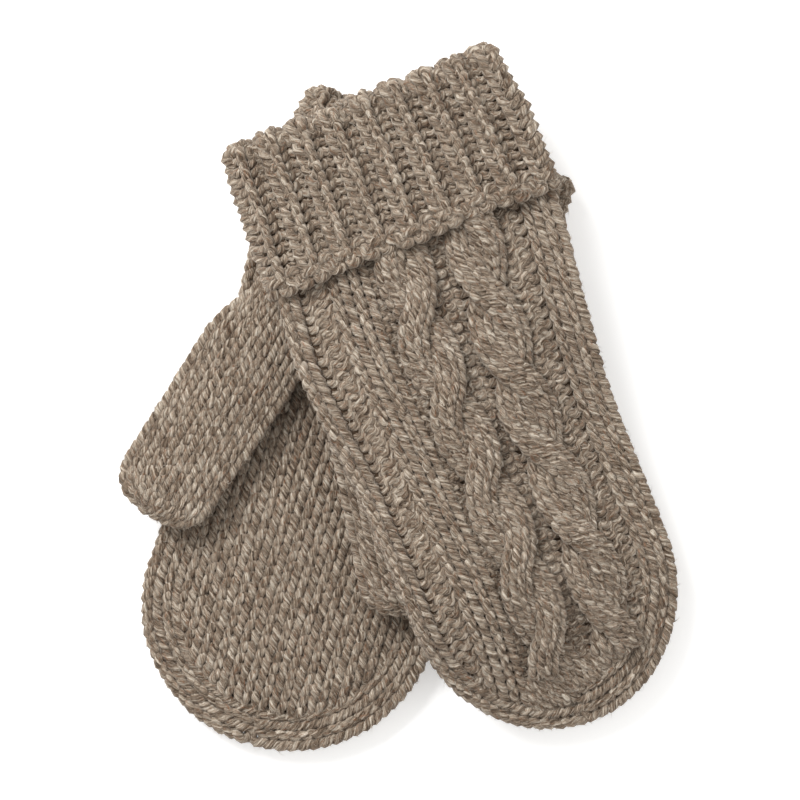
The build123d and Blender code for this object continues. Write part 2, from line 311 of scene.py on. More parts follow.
class Knit:
    """A piece of knitting: a set of yarns that become one mesh."""

    def __init__(self, name):
        self.name, self.strands = name, []

    def add(self, place, x, y, z, radius=YARN, closed=False):
        """A yarn along points of a patch; `place` turns across, along and height into the shared frame."""
        points = place(x, y, z)
        normals = place(x, y, z + 1.0) - points
        normals /= np.linalg.norm(normals, axis=1)[:, None]
        wave = np.arange(len(points)) / STEPS
        phase, beat = RNG.uniform(0, 2 * math.pi, 2), RNG.uniform(0.25, 0.9, 2)
        slow = 0.045 * np.sin(wave * beat[0] * 3 + phase[0])
        quick = 0.035 * np.sin(wave * beat[1] * 7 + phase[1])
        radii = radius * (1 + slow + quick)
        points[:, 2] = np.maximum(points[:, 2], radii * MM * 0.97)
        if not closed:
            radii[[0, -1]] *= 0.55
        self.strands.append((points, normals, radii * MM, closed))

    def build(self, material, sides=SIDES):
        """The mesh of all yarns, with a map along the yarn and a compact one for baking."""
        quads, caps, uvs, cap_uvs, lengths = [], [], [], [], []
        roots, ways = [], []
        base = 0
        angles = np.arange(sides) / sides * 2 * math.pi
        for number, (p, nrm, rad, closed) in enumerate(self.strands):
            n = len(p)
            if closed:
                tangent = np.roll(p, -1, 0) - np.roll(p, 1, 0)
            else:
                tangent = np.gradient(p, axis=0)
            tangent /= np.linalg.norm(tangent, axis=1)[:, None] + 1e-12
            side = np.cross(tangent, nrm)
            side /= np.linalg.norm(side, axis=1)[:, None] + 1e-12
            up = np.cross(side, tangent)
            cos, sin = np.cos(angles)[None, :, None], np.sin(angles)[None, :, None]
            out = cos * up[:, None] + sin * side[:, None]
            roots.append((p[:, None] + rad[:, None, None] * out).reshape(-1, 3))
            ways.append(out.reshape(-1, 3))
            last = n if closed else n - 1
            i, j = np.meshgrid(np.arange(last), np.arange(sides), indexing="ij")
            i2, j2 = (i + 1) % n, (j + 1) % sides
            quad = np.stack([i * sides + j, i * sides + j2, i2 * sides + j2, i2 * sides + j], axis=-1)
            quads.append(base + quad.reshape(-1, 4))
            run = np.concatenate([[0], np.cumsum(np.linalg.norm(np.diff(p, axis=0), axis=1))]) / MM
            closing = np.linalg.norm(p[-1] - p[0]) / MM if closed else 0
            u = np.append(run, run[-1] + closing)
            offset = 137.0 * number
            u0, u1 = u[i] + offset, u[i + 1] + offset
            v0, v1 = j / sides, (j + 1) / sides
            corners = ((u0, v0), (u0, v1), (u1, v1), (u1, v0))
            uvs.append(np.stack([np.stack(q, -1) for q in corners], axis=2).reshape(-1, 2))
            lengths.append(last)
            if not closed:
                caps.append(base + np.arange(sides)[::-1])
                caps.append(base + (n - 1) * sides + np.arange(sides))
                cap_uvs.append(np.full((2 * sides, 2), offset))
            base += n * sides
        self.roots, self.ways = np.concatenate(roots), np.concatenate(ways)
        quads, uvs = np.concatenate(quads), np.concatenate(uvs)
        bake = strip_map(sum(lengths), sides)
        loops, starts = quads.ravel(), np.arange(len(quads)) * 4
        if caps:
            starts = np.concatenate([starts, len(loops) + np.arange(len(caps)) * sides])
            loops = np.concatenate([loops, np.concatenate(caps)])
            uvs = np.concatenate([uvs] + cap_uvs)
            bake = np.concatenate([bake, cap_map(len(caps), angles)])
            bake[:, 1] = np.minimum(bake[:, 1], 1.0)
        mesh = polygon_mesh(self.name, self.roots, loops, starts, (("Yarn", uvs), ("OFBake", bake)))
        mesh.validate()
        return link(self.name, mesh, material)


STRIP_TOP, CAP_FLOOR = 0.965, 0.97       # the baked map's part for the strips, and where the caps begin


def strip_map(total, sides):
    """A compact map for baking: the yarns' rings, `total` in all, follow each other in columns."""
    columns = max(1, int(math.sqrt(total / sides * 1.6)))
    per = math.ceil(total / columns) + 1
    column, place = np.divmod(np.arange(total), per)
    gap = 0.06 / columns
    wide, high = (1 / columns - gap) / sides, STRIP_TOP / per
    x0 = column[:, None] / columns + gap / 2 + np.arange(sides)[None] * wide
    y0 = np.repeat(place[:, None] * high, sides, 1)
    corners = [(x0, y0), (x0 + wide, y0), (x0 + wide, y0 + high), (x0, y0 + high)]
    return np.stack([np.stack(c, -1) for c in corners], axis=2).reshape(-1, 2)


def cap_map(count, angles):
    """Places for the yarns' cut ends in the strip that strip_map leaves at the top."""
    spot = np.stack([0.5 + 0.5 * np.cos(angles), 0.5 + 0.5 * np.sin(angles)], -1)
    wide = math.ceil(math.sqrt(count * 40))
    index = np.arange(count)
    cell = np.stack([index % wide, index // wide], -1) / wide
    return (cell[:, None] + spot[None] * 0.9 / wide).reshape(-1, 2) + [0, CAP_FLOOR]


# Wool. PLIES plies wind once round the yarn in PLY_TURN millimetres. The tone of a fibre runs through the
# shades between TONE_LOW and TONE_HIGH.

PLIES, PLY_TURN = 3.0, 9.5
TONE_LOW, TONE_HIGH = 0.585, 0.83
WOOL_BUMP = 0.55


def wool(name, shades, fleck):
    """Plied, heathered wool: plies twisted together, each of drawn-out fibres of mixed colours, with painted
    shade in the valleys between the plies.
    """
    mat = bpy.data.materials.new(name)
    mat.use_nodes = True
    tree = mat.node_tree
    nodes, links = tree.nodes, tree.links
    shader = nodes["Principled BSDF"]
    shader.inputs["Roughness"].default_value = 0.93
    shader.inputs["Specular IOR Level"].default_value = 0.12
    shader.inputs["Sheen Weight"].default_value = 0.35
    shader.inputs["Sheen Roughness"].default_value = 0.45
    shader.inputs["Sheen Tint"].default_value = (0.75, 0.68, 0.6, 1)

    def math_node(kind, a, b=None, c=None):
        node = nodes.new("ShaderNodeMath")
        node.operation = kind
        for k, value in enumerate((a, b, c)):
            if value is None:
                continue
            if isinstance(value, (int, float)):
                node.inputs[k].default_value = value
            else:
                links.new(value, node.inputs[k])
        return node.outputs[0]

    def noise(vector, scale, detail=2.0, rough=0.55):
        node = nodes.new("ShaderNodeTexNoise")
        node.inputs["Scale"].default_value = scale
        node.inputs["Detail"].default_value = detail
        node.inputs["Roughness"].default_value = rough
        links.new(vector, node.inputs["Vector"])
        return node.outputs["Fac"]

    def joined(x, y, z):
        node = nodes.new("ShaderNodeCombineXYZ")
        for k, value in enumerate((x, y, z)):
            if isinstance(value, (int, float)):
                node.inputs[k].default_value = value
            else:
                links.new(value, node.inputs[k])
        return node.outputs[0]

    def mix(factor, a, b, kind="MIX"):
        node = nodes.new("ShaderNodeMix")
        node.data_type, node.blend_type = "RGBA", kind
        if isinstance(factor, (int, float)):
            node.inputs[0].default_value = factor
        else:
            links.new(factor, node.inputs[0])
        for k, value in ((6, a), (7, b)):
            if isinstance(value, tuple):
                node.inputs[k].default_value = value
            else:
                links.new(value, node.inputs[k])
        return node.outputs[2]

    yarn = nodes.new("ShaderNodeUVMap")
    yarn.uv_map = "Yarn"
    split = nodes.new("ShaderNodeSeparateXYZ")
    links.new(yarn.outputs[0], split.inputs[0])
    u, v = split.outputs[0], split.outputs[1]
    angle = math_node("MULTIPLY", v, 2 * math.pi)
    ring_x = math_node("COSINE", angle)
    ring_y = math_node("SINE", angle)
    turn = math_node("MULTIPLY_ADD", u, 1 / PLY_TURN, v)
    stripe = math_node("MULTIPLY", turn, PLIES)
    phase = math_node("FRACT", stripe)
    crown = math_node("SINE", math_node("MULTIPLY", phase, math.pi))
    ply = math_node("POWER", crown, 0.45)
    index = math_node("FLOOR", stripe)
    twisted = math_node("MULTIPLY", turn, 2 * math.pi)
    tx, ty = math_node("COSINE", twisted), math_node("SINE", twisted)
    fibre_x, fibre_y = math_node("MULTIPLY", tx, 2.6), math_node("MULTIPLY", ty, 2.6)
    fibre_at = joined(math_node("MULTIPLY", u, 0.16), fibre_x, fibre_y)
    fine = noise(fibre_at, 5.5, 4.0, 0.75)
    coarse_at = joined(math_node("MULTIPLY", u, 0.11), tx, ty)
    heather = noise(coarse_at, 1.6, 3.0, 0.65)
    lot_at = joined(math_node("MULTIPLY", u, 0.02), math_node("MULTIPLY", index, 3.7), 0.0)
    lot = noise(lot_at, 2.2, 2.0)
    fleck_x, fleck_y = math_node("MULTIPLY", ring_x, 1.3), math_node("MULTIPLY", ring_y, 1.3)
    fleck_at = joined(math_node("MULTIPLY", u, 0.13), fleck_x, fleck_y)
    flecks = noise(fleck_at, 2.9, 3.0, 0.75)
    tone = math_node("MULTIPLY_ADD", heather, 0.5, math_node("MULTIPLY", fine, 0.75))
    tone = math_node("MULTIPLY_ADD", lot, 0.17, tone)
    ramp = nodes.new("ShaderNodeValToRGB")
    links.new(tone, ramp.inputs[0])
    stops = ramp.color_ramp.elements
    stops[0].position, stops[0].color = TONE_LOW, shades[0]
    stops[1].position, stops[1].color = TONE_HIGH, shades[-1]
    for k, shade in enumerate(shades[1:-1], 1):
        stops.new(TONE_LOW + (TONE_HIGH - TONE_LOW) * k / (len(shades) - 1)).color = shade
    speck = nodes.new("ShaderNodeMapRange")
    links.new(flecks, speck.inputs["Value"])
    speck.inputs["From Min"].default_value, speck.inputs["From Max"].default_value = 0.57, 0.7
    speck.inputs["To Max"].default_value = 0.65
    colour = mix(speck.outputs[0], ramp.outputs[0], fleck)
    # Painted shade: the colour is darkened in the valleys between the plies and left full on each ply's
    # crown.
    dark = math_node("MULTIPLY_ADD", ply, 0.54, 0.42)
    colour = mix(1.0, colour, joined(dark, dark, dark), "MULTIPLY")
    links.new(colour, shader.inputs["Base Color"])
    rise = math_node("MULTIPLY_ADD", ply, 0.8, math_node("MULTIPLY", fine, 0.75))
    bumped = nodes.new("ShaderNodeBump")
    bumped.inputs["Strength"].default_value = WOOL_BUMP
    bumped.inputs["Distance"].default_value = 0.0006
    links.new(rise, bumped.inputs["Height"])
    links.new(bumped.outputs[0], shader.inputs["Normal"])
    return mat


def linear(c):
    """A display value from 0 to 255 as a linear one."""
    c = c / 255
    return c / 12.92 if c < 0.04 else ((c + 0.055) / 1.055) ** 2.4


def srgb(r, g, b):
    """A linear colour from 8-bit display values."""
    return (linear(r), linear(g), linear(b), 1.0)


SHADES = [srgb(46, 35, 27), srgb(90, 74, 60), srgb(136, 119, 102), srgb(170, 156, 139), srgb(216, 207, 192)]
RUST = srgb(142, 90, 56)
MATS = {name: wool(name, SHADES, RUST) for name in ("wool_plain", "wool_rib", "wool_cable", "wool_seam")}


def mottled(name, rough, specular, scale, dark, light):
    """A dull material whose colour runs between two (place, colour) stops with a fine noise."""
    mat = bpy.data.materials.new(name)
    mat.use_nodes = True
    nodes, links = mat.node_tree.nodes, mat.node_tree.links
    shader = nodes["Principled BSDF"]
    shader.inputs["Roughness"].default_value = rough
    shader.inputs["Specular IOR Level"].default_value = specular
    where = nodes.new("ShaderNodeTexCoord")
    texture = nodes.new("ShaderNodeTexNoise")
    texture.inputs["Scale"].default_value = scale
    links.new(where.outputs["Object"], texture.inputs["Vector"])
    ramp = nodes.new("ShaderNodeValToRGB")
    for stop, (place, colour) in zip(ramp.color_ramp.elements, (dark, light)):
        stop.position, stop.color = place, colour
    links.new(texture.outputs["Fac"], ramp.inputs[0])
    links.new(ramp.outputs[0], shader.inputs["Base Color"])
    return mat, texture, shader


def felt(name, shade):
    """The matted inside of the fabric, seen only between the stitches."""
    shaded = tuple(c * 0.55 for c in shade[:3]) + (1,)
    mat, texture, shader = mottled(name, 1.0, 0.05, 900.0, (0.3, shaded), (0.75, shade))
    texture.inputs["Detail"].default_value = 4.0
    bumped = mat.node_tree.nodes.new("ShaderNodeBump")
    bumped.inputs["Distance"].default_value = 0.0008
    mat.node_tree.links.new(texture.outputs["Fac"], bumped.inputs["Height"])
    mat.node_tree.links.new(bumped.outputs[0], shader.inputs["Normal"])
    return mat


INSIDE = felt("wool_inside", srgb(82, 67, 54))
FLUFF = mottled("wool_fluff", 0.8, 0.15, 260.0, (0.35, srgb(104, 86, 70)), (0.65, srgb(198, 188, 174)))[0]


def finish_piece(knit, body, slot, *nodes, sides=SIDES):
    """Build a piece of knitting on one body, in the place of CAD nodes."""
    obj = knit.build(MATS[slot], sides)
    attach(obj, body)
    if nodes:
        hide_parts(*nodes)


def shell(name, rings):
    """A thin felt wall through rings of points, one face out and the other back, so that it is closed."""
    count, per = len(rings), len(rings[0])
    verts = np.concatenate(rings)
    verts[:, 2] = np.maximum(verts[:, 2], FLOOR_GAP * MM)
    i, j = np.meshgrid(np.arange(count), np.arange(per), indexing="ij")
    i2, j2 = (i + 1) % count, (j + 1) % per
    quads = np.stack([i * per + j, i * per + j2, i2 * per + j2, i2 * per + j], -1).reshape(-1, 4)
    corners = [np.stack(q, -1) for q in ((i, j), (i, j + 1), (i + 1, j + 1), (i + 1, j))]
    bake = np.stack(corners, axis=2).reshape(-1, 2) / [count, per]
    mesh = polygon_mesh(name, verts, quads.ravel(), np.arange(len(quads)) * 4, (("OFBake", bake),))
    obj = link(name, mesh, INSIDE)
    return obj


def two_faces(place, path, levels, per):
    """Rings of points down one face of a wall and back up the other. `place` takes share, path and height."""
    share = np.arange(per) / per
    rings = []
    for level, way in zip(levels, (1, -1)):
        rings += [place(share, np.full(per, s), np.full(per, level)) for s in path[::way]]
    return rings


# The hand.

NO_ROOM = -9.0         # keeps no column: the border stitches have closed over the face
FACE_OVERLAP = 2.0     # how far the face's columns run under the border's
CABLE_HALF, CABLE_WALE = 5.6, 5.5


def face_edges(m, widths):
    """Places in plan of the columns' edges across a face, from the thumb edge, at the full width."""
    arc, psis = arc_table(m.palm_half_width, half_height(m))
    full = 2 * arc[-1]
    marks = np.concatenate([[0], np.cumsum(widths)]) * full / np.sum(widths)
    near = np.minimum(marks, full - marks)
    x = m.palm_half_width * np.cos(np.interp(near, arc, psis))
    return np.where(marks < full / 2, -x, x), marks


def hand_rows(m):
    """Rows of stitches from under the cuff to the fingertip."""
    return np.arange(FIRST_ROW, m.length, ROW)


def knit_face(m, side, columns, borders, plain_from, name, steps):
    """The flat of one face: straight rows, cut short where the tip's border stitches take over.

    A column's kind is 1 for knit, -1 and -2 for purl and deep purl, and 0 for yarn that floats behind a
    cable. From `plain_from` on all columns are knit."""
    widths, kinds = columns
    piece = Knit(name)
    edges, marks = face_edges(m, widths)
    kinds = np.array(kinds)
    cols = np.arange(borders[0], len(widths) - borders[1])
    band = [marks[borders[0]], marks[-1] - marks[-1 - borders[1]]]
    arc, psis = arc_table(m.palm_half_width, half_height(m))
    inner = [math.cos(np.interp(b, arc, psis)) for b in band]
    wobble = RNG.uniform(0, 6.28, 3)
    for number, v in enumerate(hand_rows(m)):
        t = max(0.0, (v - tip_start(m)) / m.tip_round)
        grow = hand_half(m, v) / m.palm_half_width
        limit = []
        for k in (0, 1):
            room = 1 - (t / inner[k]) ** 2
            limit.append(m.palm_half_width * inner[k] * math.sqrt(room) if room > 0 else NO_ROOM)
        centre, width = (edges[1:] + edges[:-1]) / 2, np.diff(edges)
        keep = [c for c in cols if abs(centre[c]) < limit[0 if centre[c] < 0 else 1] + FACE_OVERLAP]
        if len(keep) < 2:
            break
        kind = kinds[keep]
        if v > plain_from:
            face, loop, lift = np.ones(len(keep)), np.ones(len(keep)), np.zeros(len(keep))
        else:
            face = np.where(kind < 0, -1.0, 1.0)
            loop = np.where(kind == 0, 0.0, 1.0)
            lift = np.select([kind == -1, kind == -2, kind == 0], [-0.9, -1.8, -1.8], 0.15)
        x, y, z = course(centre[keep] * grow, width[keep] * grow, face, ROW, lift, loop, steps=steps)
        wide_bow = 0.5 * np.sin(x / 23 + wobble[0] + number * 0.21)
        bow = wide_bow + 0.35 * np.sin(x / 11 + wobble[1] - number * 0.4)
        sway = 0.35 * np.sin(v / 19 + wobble[2] + x / 30)
        z = z - FACE_DIVE * near_ends(len(x), steps * FACE_DIVE_REACH)
        piece.add(lambda p, q, h: face_point(m, p, q, side, h - SINK), x + sway, v + y + bow, z)
    return piece


def knit_border(m, edge, widths, name, lower):
    """The wales that turn round one side edge and follow the outline to the tip."""
    piece = Knit(name)
    radius = (m.palm_half_width + m.tip_round) / 2
    last = tip_start(m) + radius * math.pi / 2
    edges = np.concatenate([[0], np.cumsum(widths)]) - lower
    centres = (edges[1:] + edges[:-1]) / 2
    for number, s in enumerate(np.arange(FIRST_ROW, last - 1.0, ROW)):
        x, y, z = course(centres, widths, 1.0, ROW)
        bow = 0.4 * np.sin(number * 0.37 + x / 9)
        z = z - BORDER_DIVE * near_ends(len(x), STEPS * BORDER_DIVE_REACH)
        along = np.minimum(s + y + bow, last + 1.5)
        piece.add(lambda p, q, h: band_point(m, edge, p, q, h - SINK), x, along, z)
    return piece


def cable_piece(m, x_centre, lean, name):
    """A rope of two strips of two wales that cross over each other, always the same way."""
    piece = Knit(name)
    base, swing = m.cable_lift
    first, last = CUFF_DEPTH + 2, m.crossings[-1] + 13
    marks = np.array([m.crossings[0] - 34.0] + list(m.crossings) + [m.crossings[-1] + 36.0])
    fine = np.linspace(first, last, 900)
    turns = np.interp(fine, marks, np.arange(len(marks)) - 1.0)
    for strip in (0, 1):
        # Half a turn of the rope from crossing to crossing; the strips change sides at each.
        phase = math.pi * (turns + strip)
        swing_x = np.sin(phase)
        across = -lean * CABLE_HALF * np.sign(swing_x) * np.abs(swing_x) ** 0.8
        height = base + swing * np.cos(phase)
        slope = np.gradient(across, fine)
        run = np.concatenate([[0], np.cumsum(np.sqrt(1 + slope[1:] ** 2) * np.diff(fine))])
        for s in np.arange(1.0 + 0.5 * strip, run[-1] - 1, ROW * 0.98):
            v, a, h = (np.interp(s, run, q) for q in (fine, across, height))
            tilt = math.atan(np.interp(s, run, slope))
            x, y, z = course([-CABLE_WALE / 2, CABLE_WALE / 2], [CABLE_WALE] * 2, 1.0, ROW, depth=0.95)
            arch = 0.55 * (1 - (x / CABLE_WALE) ** 2)
            z = z + h + arch - CABLE_DIVE * near_ends(len(x), STEPS * CABLE_DIVE_REACH)
            grow = hand_half(m, v) / m.palm_half_width
            cx = x_centre * grow + a + x * math.cos(tilt) + y * math.sin(tilt)
            cv = v - x * math.sin(tilt) + y * math.cos(tilt)
            piece.add(lambda p, q, k: face_point(m, p, q, -m.palm, k - SINK), cx, cv, z, radius=YARN * 0.97)
    return piece


# Columns of stitches across a face, from the thumb edge: widths, and kinds as knit_face takes them.
LEFT_BACK = ([7.4, 6.2, 6.2, 8.2, 8.2, 2.0] + [5.45] * 4 + [4.5] + [5.6] * 4 + [5.6, 5.6, 7.0, 7.0],
             [1, -1, -1, 1, 1, -2] + [0] * 4 + [-2] + [0] * 4 + [-1, -1, 1, 1])
RIGHT_BACK = ([7.0, 7.0, 6.2, 6.2, 3.5] + [5.5] * 4 + [4.5] + [5.5] * 4 + [3.5, 6.2, 6.2, 7.0, 7.0],
              [1, 1, -1, -1, -2] + [0] * 4 + [-2] + [0] * 4 + [-2, -1, -1, 1, 1])
PALM = ([7.0] * 16, [1] * 16)

# Each hand's back, the columns that its borders take at the thumb side and the outer side, the middles of
# its cables, where they cross, how high a rope lies and swings, and how far the cuff bulges at +x and at -x.
RIGHT.back, RIGHT.back_borders, RIGHT.cables = RIGHT_BACK, (2, 2), (-13.3, 13.3)
LEFT.back, LEFT.back_borders, LEFT.cables = LEFT_BACK, (1, 2), (-6.6, 19.9)
RIGHT.crossings, LEFT.crossings = (90, 124, 158, 186, 220), (88, 121, 154, 189, 224)
RIGHT.cable_lift, LEFT.cable_lift = (1.1, 1.2), (2.1, 1.9)
RIGHT.cuff_puff, LEFT.cuff_puff = (0.6, 0.6), (2.6, 0.6)


def hand(m):
    """Palm, back, border and cables of one hand."""
    name, body = m.name, m.name + "_hand"
    palm_steps, back_steps = (STEPS, HIDDEN_STEPS) if m.palm > 0 else (HIDDEN_STEPS, STEPS)
    palm = knit_face(m, m.palm, PALM, (2, 2), 0.0, name + "_palm_knit", palm_steps)
    finish_piece(palm, body, "wool_plain", name + "_palm_panel")
    plain_from = m.crossings[-1] + 10
    back = knit_face(m, -m.palm, m.back, m.back_borders, plain_from, name + "_back_knit", back_steps)
    finish_piece(back, body, "wool_plain", name + "_back_panel")
    arc, _ = arc_table(m.palm_half_width, half_height(m))
    palm_w, back_w = (np.array(w) * 2 * arc[-1] / sum(w) for w in (PALM[0], m.back[0]))
    borders = []
    for edge, label, node in ((-1, "thumb_side", "fingertip"), (1, "outer_side", "side_seam")):
        count = m.back_borders[0 if edge < 0 else 1]
        backs = (back_w if edge < 0 else back_w[::-1])[:count]
        palms = palm_w[:2]
        up, down = (palms, backs) if m.palm > 0 else (backs, palms)
        widths = np.concatenate([down[::-1], up])
        border = knit_border(m, edge, widths, f"{name}_{label}_knit", sum(down))
        finish_piece(border, body, "wool_seam", f"{name}_{node}")
        borders.append(border)
    ropes = []
    for spot, label, way in ((m.cables[0], "outer_cable", 1), (m.cables[1], "inner_cable", -1)):
        rope = cable_piece(m, spot, way, f"{name}_{label}_knit")
        finish_piece(rope, body, "wool_cable", f"{name}_{label}")
        ropes.append(rope)
    return palm, back, borders, ropes


def hand_inside(m):
    """The matted fabric behind the stitches of the hand, a double-walled bag with its mouth in the wrist."""
    rings = []
    per = 96
    theta = np.arange(per) / per * 2 * math.pi
    b = half_height(m)
    stations = [(v, 0.0) for v in np.arange(CUFF_DEPTH - 6, tip_start(m), 6.0)]
    stations += [(tip_start(m), beta) for beta in np.linspace(0, math.pi / 2 * 0.985, 14)]
    for depth, way in ((SINK + 1.9, 1), (SINK + 3.0, -1)):
        thin = b - min(depth, b - 1.0)
        for v, beta in stations[::way]:
            k = math.cos(beta)
            wide = (hand_half(m, v) if v < tip_start(m) else m.palm_half_width) - depth
            along = v + (m.tip_round - depth) * math.sin(beta)
            x, z = wide * k * np.cos(theta), thin * k * np.sin(theta)
            rings.append(hand_place(m, x, np.full(per, along), z))
    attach(shell(m.name + "_hand_inside", rings), m.name + "_hand")


# The cuff.

RIBS = 17
KNIT_SHARE = 0.56
RIB_BULB = 1.42
ROUND = 240.0          # the scale on which places round the cuff are given
OUTER_PLY, INNER_PLY = WALL + PLY_GAP - 2.2, -2.0
FOLD_RADIUS = (OUTER_PLY - INNER_PLY) / 2
FOLD_START = FOLD_RADIUS + 1.6
FOLD_QUARTER = FOLD_RADIUS * math.pi / 2
CUFF_END = FOLD_QUARTER + CUFF_DEPTH - FOLD_START - 1.5
CUFF_RIB, EDGE_RIB, WRIST_RIB = (1.3, -3.6), (1.2, 0.3), (0.5, -1.1)     # heights of knit and purl
WRIST_SINK = 3.4


def rib_columns(count=RIBS):
    """Centres, widths and faces round a rib of one knit and one purl column."""
    centres, widths, faces = [], [], []
    for k in range(count):
        centres += [(k + KNIT_SHARE / 2) / count, (k + KNIT_SHARE + (1 - KNIT_SHARE) / 2) / count]
        widths += [KNIT_SHARE / count, (1 - KNIT_SHARE) / count]
        faces += [1.0, -1.0]
    return np.array(centres), np.array(widths), np.array(faces)


def fold_path(s):
    """(down, radial, turn of the normal) along the cuff from its fold outwards and inwards.

    s is 0 at the top of the fold, positive down the outer ply and negative down the inner one."""
    bend = np.clip(s / FOLD_RADIUS, -math.pi / 2, math.pi / 2)
    straight = np.maximum(0, np.abs(s) - FOLD_QUARTER)
    down = FOLD_START - FOLD_RADIUS * np.cos(bend) + straight
    return down, (OUTER_PLY + INNER_PLY) / 2 + FOLD_RADIUS * np.sin(bend), bend


def cuff_point(m, share, s, h):
    """A point over the cuff, `s` along its path over the fold."""
    down, radial, bend = fold_path(s)
    edge = np.cos(ring_angle(share, m.wrist_half_width, half_height(m)))
    puff = np.where(edge > 0, *m.cuff_puff)
    h = h + puff * edge**8 * np.sin(np.clip(s / CUFF_DEPTH, 0, 1) * math.pi) ** 0.6
    return wrist_point(m, share, down - h * np.cos(bend), radial + h * np.sin(bend))


def cuff(m):
    """The turned cuff with its fold, its thick cast-on edge and the rib inside it."""
    name = m.name
    centres, widths, faces = rib_columns()
    centres, widths = centres * ROUND, widths * ROUND
    piece = Knit(name + "_cuff_knit")
    raise_by = np.where(faces > 0, *CUFF_RIB)
    for number, s in enumerate(np.arange(CUFF_END - 2.6, -FOLD_QUARTER - 1.0, -RIB_ROW)):
        drift = 0.0012 * math.sin(number * 0.8)
        x, y, z = course(centres, widths, faces, RIB_ROW, raise_by, closed=True, depth=0.8, bulb=RIB_BULB)
        wave = 0.6 * np.sin(2 * math.pi * x / ROUND * 5 + number * 0.5)
        piece.add(lambda p, q, h: cuff_point(m, p / ROUND + drift, q, h), x, s - y + wave, z,
                  radius=YARN * 0.98, closed=True)
    finish_piece(piece, name + "_cuff", "wool_rib", name + "_turned_cuff")
    edge = Knit(name + "_cast_on_knit")
    raise_by = np.where(faces > 0, *EDGE_RIB)
    for s, way, thick in ((CUFF_END, 1, 1.0), (CUFF_END + 1.9, -1, 1.08)):
        x, y, z = course(centres, widths, faces * way, RIB_ROW * 0.7, raise_by, closed=True, depth=0.8)
        turn = 2 * math.pi * x / ROUND
        wave = 0.7 * np.sin(turn * 5 + 0.4) + 0.4 * np.sin(turn * RIBS)
        edge.add(lambda p, q, h: cuff_point(m, p / ROUND, q, h), x, s - y + wave, z,
                 radius=YARN * thick, closed=True)
    finish_piece(edge, name + "_cuff", "wool_seam", name + "_cast_on_edge")
    rib = Knit(name + "_wrist_knit")
    raise_by = np.where(faces > 0, *WRIST_RIB)
    for down in np.arange(6.5, CUFF_DEPTH + 1, RIB_ROW):
        x, y, z = course(centres, widths, faces, RIB_ROW, raise_by, closed=True, depth=0.75, steps=10)
        rib.add(lambda p, q, h: wrist_point(m, p / ROUND, q, h - WRIST_SINK), x, down + y, z,
                radius=YARN * 0.85, closed=True)
    finish_piece(rib, name + "_hand", "wool_rib", name + "_wrist_rib", sides=6)
    path = np.linspace(CUFF_END - 1, -FOLD_QUARTER - 1.0, 30)
    rings = two_faces(lambda p, s, h: cuff_point(m, p, s, h), path, (-1.3, -2.4), 120)
    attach(shell(name + "_cuff_inside", rings), name + "_cuff")
    path = np.linspace(7.0, CUFF_DEPTH + 2, 20)
    rings = two_faces(lambda p, s, h: wrist_point(m, p, s, h), path, (-3.7, -4.3), 120)
    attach(shell(name + "_wrist_inside", rings), name + "_hand")
    return [piece, edge]


# The thumb.

THUMB_THICK = WALL + 2.6
THUMB_GAP = 0.7
# Both thumbs lie on the palm of the lower mitten.
THUMB_LEVEL = RIGHT.lay[1][1] + half_height(RIGHT) + THUMB_GAP + THUMB_THICK
THUMB_WALES = 13
KNUCKLE = 26.0
GUSSET_START = -22.0
TIP_STRETCH = 1.15     # rows over the thumb's end are this much further apart than its rounding alone gives


def thumb_half(m, reach):
    """Half width of the thumb without the rounding of its end."""
    near, far = m.thumb_half
    start = m.thumb_reach - THUMB_END_ROUND
    return near + (far - near) * np.clip((reach - 13) / (start - 13), 0, 1)


def thumb_point(m, share, reach, h):
    """A point round the thumb; before the knuckle it leads down into the palm as the gusset."""
    start = m.thumb_reach - THUMB_END_ROUND
    beta = np.clip((reach - start) / (THUMB_END_ROUND * TIP_STRETCH), 0, math.pi / 2)
    wide, high = thumb_half(m, reach), THUMB_THICK
    k = np.cos(beta)
    along = np.minimum(reach, start) + THUMB_END_ROUND * np.sin(beta)
    psi = ring_angle(share, m.thumb_half[0], high)
    h = h + THUMB_PUFF * np.cos(psi) ** 8
    n = np.stack([np.cos(psi) / wide * k, np.sin(beta) / THUMB_END_ROUND, np.sin(psi) / high * k])
    n = n / np.linalg.norm(n, axis=0)
    x, z = wide * k * np.cos(psi) + h * n[0], high * k * np.sin(psi) + h * n[2]
    along = along + h * n[1]
    # Towards the wrist the gusset narrows and sinks into the palm.
    lead = ease((KNUCKLE - along) / (KNUCKLE + 26))
    x = x * (1 - 0.62 * lead)
    drop = -m.palm * lead * 9.5
    swing = math.radians(-m.thumb_turn)
    turn = swing * (1 - 0.5 * lead)
    px = m.thumb_root[0] + math.sin(swing) * np.maximum(along, 0) + x * np.cos(turn)
    py = -m.thumb_root[1] - np.where(along > 0, math.cos(swing) * along, along) + x * np.sin(turn)
    return to_frame(m, px, py, THUMB_LEVEL + z + drop)


def thumb_rows(m, name, first, last, radius=YARN):
    """Closed rows of stitches round the thumb, with fewer of them as its end closes."""
    piece = Knit(name)
    steps = STEPS if m.palm > 0 else HIDDEN_STEPS
    start = m.thumb_reach - THUMB_END_ROUND
    for number, reach in enumerate(np.arange(first, last, ROW)):
        beta = max(0.0, (reach - start) / (THUMB_END_ROUND * TIP_STRETCH))
        count = max(4, round(THUMB_WALES * math.cos(min(beta, 1.5)) ** 0.8))
        pitch = THUMB_WALES / count
        centres, widths = (np.arange(count) + 0.5) * pitch, np.full(count, pitch)
        x, y, z = course(centres, widths, 1.0, ROW, steps=steps, closed=True)
        bow = 0.4 * np.sin(x * 0.9 + number)
        piece.add(lambda p, q, h: thumb_point(m, p / THUMB_WALES, q, h - SINK), x, reach + y + bow, z,
                  radius=radius * (1.0 if beta < 0.8 else 0.85), closed=True)
    return piece


